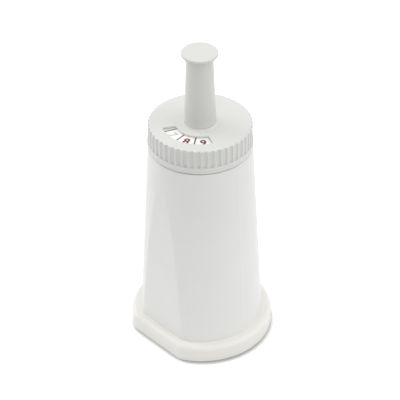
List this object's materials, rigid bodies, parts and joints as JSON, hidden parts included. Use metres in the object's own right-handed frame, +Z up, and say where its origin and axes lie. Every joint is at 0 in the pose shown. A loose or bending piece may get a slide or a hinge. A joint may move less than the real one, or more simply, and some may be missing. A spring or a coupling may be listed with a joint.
{
  "type": "coffee machine water filter",
  "caption": "Tapered tank water filter cartridge with one flat side on a D-shaped foot, a fluted month dial with an arc window, a lifting stem and a sealed outlet socket below.",
  "frame": {"origin": "centre of the outlet socket's mouth, on the plane that the foot stands on", "axes": "+Z up along the cartridge's axis, -Y towards the flat side"},
  "size_m": [0.0524, 0.0493, 0.1195],
  "materials": {
    "housing_white": "satin moulded",
    "foot_white": "satin moulded",
    "dial_grey": "satin moulded",
    "stem_grey": "satin moulded",
    "disc_white": "printed, glossy",
    "seal_rubber": "matt",
    "tube_white": "satin moulded",
    "fleece": "felted",
    "granulate": "granular"
  },
  "bodies": {
    "cartridge": {"housing": "housing_white", "base_foot": "foot_white", "handle_stem": "stem_grey", "month_disc": "disc_white", "outlet_seal": "seal_rubber", "down_tube": "tube_white", "lower_screen": "fleece", "upper_screen": "fleece", "granulate_bed": "granulate"},
    "dial": {"dial_cap": "dial_grey"}
  },
  "joints": [
    {"name": "dial_turn", "type": "hinge", "parent": "cartridge", "child": "dial", "pos_m": [0, 0, 0.085], "axis": [0, 0, 1], "continuous": true}
  ]
}
